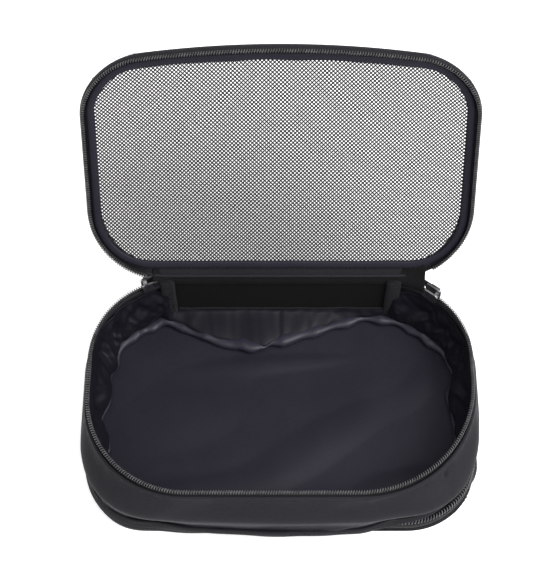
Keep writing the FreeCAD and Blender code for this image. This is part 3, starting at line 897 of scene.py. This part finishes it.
def floor_lining():
    """The satin floor, laid on the divider with soft swells and small puckers."""
    columns, rows = 121, 81
    points = disc_points(DIVIDER.grown(-1.2 * MM), columns, rows)
    height = FLOOR_TOP + 1.0 * MM
    for x, y, heading, long, wide, lift in SWELLS:
        turn = math.radians(heading)
        to_x, to_y = points[:, :, 0] - x * MM, points[:, :, 1] - y * MM
        along = (to_x * math.cos(turn) + to_y * math.sin(turn)) / (long * MM)
        aside = (to_y * math.cos(turn) - to_x * math.sin(turn)) / (wide * MM)
        height = height + lift * MM * np.exp(-along ** 2 - aside ** 2)
    points[:, :, 2] = np.maximum(height, FLOOR_TOP + 0.4 * MM)
    made = grid("floor_lining", points)
    settle(made, edge_indices(columns, rows), growth=0.012, reach=2.0 * MM, frames=20,
           gravity=0.25, bending=0.4)
    low = FLOOR_TOP + 0.3 * MM
    co = coordinates_of(made)
    co[:, 2] = np.maximum(co[:, 2], low)
    move_to(made, co)
    subdivide(made)
    thicken(made, 0.35 * MM)
    dress(made, SATIN, "main_body", "satin_fabric", "divider_floor")
    core = disc_points(DIVIDER, 49, 33)
    core[:, :, 2] = FLOOR_TOP
    made = grid("divider_core", core)
    thicken(made, 1.0 * MM)
    dress(made, BACKING, "main_body", "satin_fabric")


def upright_panel(name, half, low, high, y_at, material, slot, *replaced, thick=1.0):
    """A cloth panel across the back, between two heights; y_at(x, z) says where it lies."""
    x, z = np.meshgrid(np.linspace(-half, half, 90), np.linspace(low, high, 40))
    made = grid(name, joined(x, y_at(x, z), z))
    thicken(made, thick * MM, 0)
    subdivide(made)
    return dress(made, material, "main_body", slot, *replaced)


def back_wall():
    """The back: outer panel, dark inner panel, seam tape and the two upright bindings."""
    low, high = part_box("back_panel")[0].z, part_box("back_panel")[1].z

    def outer(x, z):
        wave = ripple(x, z, z * 0, 30.0)
        return BACK_OUTSIDE + 0.4 * MM + wave * 0.8 * MM * smooth((high - z) / 0.012)

    def inner(x, z):
        wave = ripple(x, z, z * 0 + 0.3, 34.0)
        return BACK_INSIDE - 0.3 * MM + wave * 0.6 * MM

    made = upright_panel("back_outer", BACK_HALF + MM, low - MM, high, outer, NYLON,
                         "wall_fabric", "back_panel")
    made = upright_panel("back_inner", BACK_HALF - MM, low + 18 * MM, high - 2 * MM, inner,
                         BACKING, "wall_fabric", thick=0.5)
    tape_low, tape_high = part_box("back_seam_tape")

    def taped(x, z):
        wave = ripple(x, z, z * 0 + 0.7, 60.0)
        curl = 0.8 * MM * smooth((tape_low.z + 3 * MM - z) / 0.003)
        return tape_low.y - 0.2 * MM + wave * 0.35 * MM - curl

    upright_panel("back_seam_band", tape_high.x, tape_low.z, tape_high.z, taped, BINDING,
                  "binding_tape", "back_seam_tape", thick=0.8)
    for side, node in ((-1, "left_seam_binding"), (1, "right_seam_binding")):
        seam_binding(side, node)


def seam_binding(side, node):
    """Ribbed tape folded over an upright seam: a soft flat roll with stitches beside it."""
    low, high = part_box(node)
    levels = np.linspace(low.z - 9 * MM, high.z + 2.5 * MM, 60)
    middle = side * 71 * MM + ripple(levels, levels * 0 + side, levels * 0, 60.0) * 0.9 * MM
    rib = 1 + 0.16 * np.sin(levels / 0.00042)
    lean = 1.6 * MM * smooth((0.036 - levels) / 0.012)

    def section(cosine, sine):
        wide = math.copysign(abs(cosine) ** 0.7, cosine) * 4.6 * MM
        deep = math.copysign(abs(sine) ** 0.8, sine) * 1.3 * MM
        return joined(middle + wide, low.y - 0.4 * MM - lean - deep * rib, levels)

    made = tube(f"{node}_roll", 14, section)
    dress(made, BINDING, "main_body", "binding_tape", node)
    points = joined(middle - side * 2.6 * MM, low.y - 1.9 * MM, levels)[4:]
    stitches(f"{node}_stitches", "main_body", points, np.tile([0.0, -1.0, 0.0], (len(points), 1)),
             radius=0.18 * MM)


def hinge_cloth():
    """The cloth that joins the back wall to the lid, out to where the zip begins."""
    section = [(-3.2, -9.0), (-2.8, -6.8), (-1.9, -4.9), (-0.4, -3.4), (1.4, -1.0), (3.1, 1.5),
               (4.2, 3.2)]
    x = np.linspace(-80 * MM, 90 * MM, 140)
    short = 0.9 + 0.1 * smooth((BACK_HALF + 3 * MM - abs(x)) / (4 * MM))
    radius, straight = 52 * MM, 64 * MM
    bend = np.maximum(abs(x) - straight, 0)
    corner = radius - np.sqrt(radius ** 2 - bend ** 2)
    rows = []
    for place, (y, z) in enumerate(section):
        wave = ripple(x, x * 0 + y, x * 0 + z * 0.1, 45.0) * 0.6 * MM
        share = place / (len(section) - 1)
        rows.append(joined(x, HINGE.y + y * MM - abs(wave) - corner * (1 - share * 0.5),
                           HINGE.z + min(z, 0) * MM * short + max(z, 0) * MM
                           + wave * 0.5 + corner * share * 0.6))
    made = grid("hinge_cloth", np.stack(rows))
    thicken(made, 0.9 * MM, 1)
    subdivide(made)
    dress(made, BACKING, None, "wall_fabric")
    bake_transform(made)


# ---- lid

def net():
    """The net: two sets of slanting yarns that pass over and under each other."""
    pitch, half_width, half_thick, crossing = 1.73 * MM, 0.385 * MM, 0.13 * MM, 0.10 * MM
    inside = NET_EDGE.grown(1.6 * MM)
    middle = (inside.back + inside.front) / 2
    reach = int((inside.right - middle) / pitch) + 2
    counts = np.arange(-reach, reach + 1)
    vertices, faces = [], []
    slant = math.sqrt(0.5)
    for family in (0, 1):
        along = np.array([slant, slant if family == 0 else -slant])
        aside = np.array([-along[1], along[0]])
        for line in counts:
            flat = aside * line * pitch + along * (counts * pitch)[:, None]
            kept = within(inside, flat[:, 0], flat[:, 1] + middle)
            if kept.sum() < 2:
                continue
            x, y = flat[kept].T
            over = np.where((counts[kept] + line + family) % 2 == 0, 1.0, -1.0)
            level = over * crossing + net_swell(x, y)
            first = len(vertices)
            corners = [joined(x + aside[0] * half_width * wide, y + middle + aside[1] * half_width * wide,
                              level + half_thick * tall)
                       for wide, tall in ((1, 1), (-1, 1), (-1, -1), (1, -1))]
            vertices.extend(np.stack(corners, axis=1).reshape(-1, 3))
            last = len(vertices) - 4
            for a in range(first, last, 4):
                for side in range(4):
                    b = (side + 1) % 4
                    faces.append((a + side, a + 4 + side, a + 4 + b, a + b))
            faces += [(first, first + 1, first + 2, first + 3),
                      (last + 3, last + 2, last + 1, last)]
    made = to_lid(mesh_object("net_panel", vertices, faces))
    dress(made, NET, "lid", "mesh_net", "mesh_panel")


def net_swell(x, y):
    """The slight slack of the net, deepest in its middle."""
    bowl = (1 - (x / 0.118) ** 2) * (1 - (y / 0.072) ** 2)
    return 1.6 * MM * bowl + 0.5 * MM * np.sin(x / 0.026 + y / 0.031)


def within(outline, x, y):
    """Whether each point is inside an outline."""
    inside = (x > outline.left) & (x < outline.right) & (y > outline.front) & (y < outline.back)
    centre_x, centre_y = outline.centres()
    for place, radius, side, end in zip((1, 3, 5, 7), outline.corners, (-1, -1, 1, 1),
                                        (1, -1, -1, 1)):
        dx, dy = (x - centre_x[place]) * side, (y - centre_y[place]) * end
        inside &= (dx < 0) | (dy < 0) | (np.hypot(dx, dy) <= radius)
    return inside


def lid_frame_parts():
    """Border, inner roll and piping round the net, and the stitches beside the roll."""
    stations = LID_EDGE.stations(360)

    def shift(points, normals):
        return soften(points, normals, 48.0, 0.5, 0.35)

    inner = oval(1.7 * MM, -1.7 * MM, 2.5 * MM, 1.35 * MM, 16, 0.85)
    made = to_lid(swept("lid_inner_roll", NET_EDGE, stations, inner, True, shift))
    dress(made, SATIN, "lid", "binding_tape", "lid_inner_binding")
    border = oval(-3.6 * MM, 0.5 * MM, 3.9 * MM, 0.9 * MM, 18, 0.8)
    made = to_lid(swept("lid_border_band", LID_EDGE, stations, border, True, shift))
    dress(made, NYLON, "lid", "wall_fabric", "lid_border")
    piping = oval(0, 0, 1.2 * MM, 1.2 * MM)
    made = to_lid(swept("lid_piping_cord", LID_EDGE, stations, piping, True))
    dress(made, NYLON, "lid", "binding_tape", "lid_piping")
    line, _ = ring_line(NET_EDGE, stations, -3.1 * MM, 3.6 * MM)
    line = np.array([LID_FRAME @ Vector(point) for point in line])
    down = LID_FRAME.to_3x3() @ Vector((0, 0, -1))
    stitches("lid_stitches", "lid", line, np.tile(down[:], (len(line), 1)), radius=0.16 * MM)


def lid_zip():
    """The lid's side of the zip: outer band from the piping in to the tape, tape and coil."""
    gaps = (84 * MM, 95 * MM)
    stations = LID_RIM.stations(320, *gaps)
    coil_height = lid_height_of("lid_zip_coil")
    zip_tape("lid_tape", LID_RIM, stations, coil_height + 3.2 * MM, 2.6 * MM, "lid", "lid_zip_tape")
    coil("lid_coil", LID_RIM, gaps, coil_height, "lid", "lid_zip_coil")

    def at(height):
        share = float(smooth((height - coil_height) / abs(coil_height)))
        return LID_RIM.mixed(LID_EDGE, share)

    heights = np.linspace(coil_height + 2.2 * MM, 0.2 * MM, 7)
    skin = [(0.9 * MM + 0.3 * MM * math.sin(math.pi * k / 6), h) for k, h in enumerate(heights)]
    inside = [(offset - 0.9 * MM, height) for offset, height in reversed(skin)]
    made = to_lid(swept("lid_outer_band", at, stations, skin + inside))
    dress(made, NYLON, "lid", "wall_fabric")


def lid_height_of(node):
    """The height of a lid node's middle above the lid's plane, in the lid's own frame."""
    back = LID_FRAME.inverted()
    levels = [(back @ vertex.co).z for vertex in frame["nodes"][node].data.vertices]
    return (min(levels) + max(levels)) / 2


# ---- lower compartment

def lower_zip():
    """The closed zip round the base: two coils meshed, each on its tape."""
    gaps = (BACK_HALF + 3 * MM, BACK_HALF + 3 * MM)
    stations = BASE.stations(300, *gaps)
    halves = (("top", 1, "main_body", BASE.grown(0.2 * MM), 0.0),
              ("bottom", -1, "base_cover", BASE.grown(1.2 * MM), 0.5))
    for half, way, body, line, phase in halves:
        coil(f"lower_coil_{half}", line, gaps, LOWER_CHAIN + way * 1.4 * MM, body,
             f"lower_zip_{half}_coil", semi=(1.2, 1.75), phase=phase, shift=drawn_in,
             pitch=LOWER_PITCH, wire=LOWER_WIRE)
    for half, way, body, line, _ in halves:
        zip_tape(f"lower_tape_{half}", line, stations, LOWER_CHAIN + way * 5.2 * MM, 3.3 * MM,
                 body, f"lower_zip_{half}_tape", offset=-0.4 * MM, shift=drawn_in)


def base_cover():
    """The cover under the lower compartment: bottom panel and its turned-up side band."""
    stations = BASE_OUTSIDE.stations(300, BACK_HALF + MM)

    def at(height):
        return BASE_OUTSIDE.grown(-1.6 * MM * (height / BASE_BAND_TOP) ** 2)

    band = [(-2.4, 0.3), (-1.0, 0.35), (-0.3, 1.2), (0.2, 3.0), (0.3, 5.0), (0.1, 7.0),
            (-0.1, 8.6), (-0.6, 9.2), (-1.2, 8.8), (-1.3, 7.0), (-1.2, 4.0), (-1.6, 2.0),
            (-2.6, 1.4)]
    profile = [(offset * MM, height * MM) for offset, height in band]

    def shift(points, normals):
        points = soften(points, normals, 40.0, 0.6)
        x, y = points[..., 0], points[..., 1]
        right = front_corner(x, y, 1, 24, 32, -30, 25)
        left = front_corner(x, y, -1, 50, 30, -40, 25)
        inwards = (4.4 * right + 1.4 * left) * MM
        return points - normals * inwards[..., None]

    made = swept("base_band", at, stations, profile, shift=shift)
    dress(made, NYLON, "base_cover", "wall_fabric", "base_side_band")
    line, out = ring_line(BASE_OUTSIDE.grown(-1.6 * MM), stations, BASE_BAND_TOP - 0.6 * MM, 0.35 * MM)
    stitches("base_stitches", "base_cover", line, out)
    points = disc_points(BASE_OUTSIDE.grown(-1.8 * MM), 81, 53)
    wave = ripple(points[:, :, 0], points[:, :, 1], points[:, :, 2], 26.0)
    points[:, :, 2] = 1.3 * MM + wave * 0.2 * MM
    made = grid("base_bottom", points)
    thicken(made, 1.1 * MM)
    subdivide(made)
    dress(made, NYLON, "base_cover", "wall_fabric", "base_panel")
    binding = oval(0, 3.0 * MM, 1.2 * MM, 1.2 * MM, 10)
    made = swept("base_inner_roll", BASE.grown(-2.4 * MM), stations, binding)
    dress(made, BINDING, "base_cover", "binding_tape", "base_inner_binding")
    x = np.linspace(-BACK_HALF, BACK_HALF, 60)
    low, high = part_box("base_hinge_binding")
    middle_y, middle_z, radius = (low.y + high.y) / 2, (low.z + high.z) / 2, 0.9 * MM
    made = tube("base_hinge_roll", 10, lambda cosine, sine: joined(
        x, middle_y + radius * cosine, middle_z + radius * sine))
    dress(made, BINDING, "main_body", "binding_tape", "base_hinge_binding")


# ---- sliders

def finish_sliders():
    """The cast sliders and pulls keep their CAD shapes, with their edges rounded."""
    for name, node in frame["nodes"].items():
        if not name.endswith(("slider_body", "pull_tab")):
            continue
        node.data.materials.clear()
        node.data.materials.append(METAL if name.endswith("slider_body") else PULL)
        bevel = node.modifiers.new("rounded", "BEVEL")
        bevel.width, bevel.segments, bevel.limit_method = 0.25 * MM, 3, "ANGLE"
        bevel.angle_limit = math.radians(35)


# ---- room, light and camera

def studio():
    """A pale floor, a bright room and large soft lights."""
    half, floor_glow, room_light = 30.0, 0.45, 0.68
    corners = [(-half, -half, 0), (half, -half, 0), (half, half, 0), (-half, half, 0)]
    floor = mesh_object("floor", corners, [(0, 1, 2, 3)])
    floor.location.z = -0.2 * MM
    nodes = Nodes("pale_floor")
    place = nodes.coordinates()
    colour = nodes.ramp(nodes.noise(place, 3.0), (0.88, 0.88, 0.88), (0.9, 0.9, 0.9))
    normal = nodes.bump(nodes.noise(place, 300.0), 0.05, 0.0005)
    material = nodes.finish(colour, normal, 0.9, Emission_Strength=floor_glow,
                            Emission_Color=WHITE, Specular_IOR_Level=0.1)
    floor.data.materials.append(material)
    world = bpy.data.worlds.new("studio")
    world.use_nodes = True
    background = world.node_tree.nodes["Background"]
    background.inputs[0].default_value = WHITE
    background.inputs[1].default_value = room_light
    bpy.context.scene.world = world
    lights = (
        ("key", (0.85, -0.35, 1.15), (0.7, 0.7), 19.0),
        ("fill", (-0.9, -0.5, 0.9), (0.8, 0.8), 1.0),
        ("top", (0.2, -0.35, 1.35), (1.2, 0.7), 9.0),
    )
    for name, place, spread, power in lights:
        data = bpy.data.lights.new(name, "AREA")
        data.shape = "RECTANGLE"
        data.size, data.size_y = spread
        data.energy = power
        lamp = bpy.data.objects.new(name, data)
        lamp.location = place
        aim = Vector((0, 0.03, 0.05)) - Vector(place)
        lamp.rotation_euler = aim.to_track_quat("-Z", "Y").to_euler()
        bpy.context.scene.collection.objects.link(lamp)
    bpy.context.scene.view_settings.view_transform = "Standard"


def camera():
    """Looks down at the open pouch from above its front."""
    data = bpy.data.cameras.new("camera")
    data.lens = CAMERA_LENS
    made = bpy.data.objects.new("camera", data)
    view = Vector((0, math.cos(CAMERA_ELEVATION), -math.sin(CAMERA_ELEVATION)))
    made.location = CAMERA_AIM - view * CAMERA_DISTANCE
    made.rotation_euler = (math.pi / 2 - CAMERA_ELEVATION, 0, 0)
    bpy.context.scene.collection.objects.link(made)
    bpy.context.scene.camera = made


camera()
studio()
front_wall()
waist_hem()
rim_zip()
floor_edge(*lining())
floor_lining()
back_wall()
hinge_cloth()
net()
lid_frame_parts()
lid_zip()
lower_zip()
base_cover()
finish_sliders()
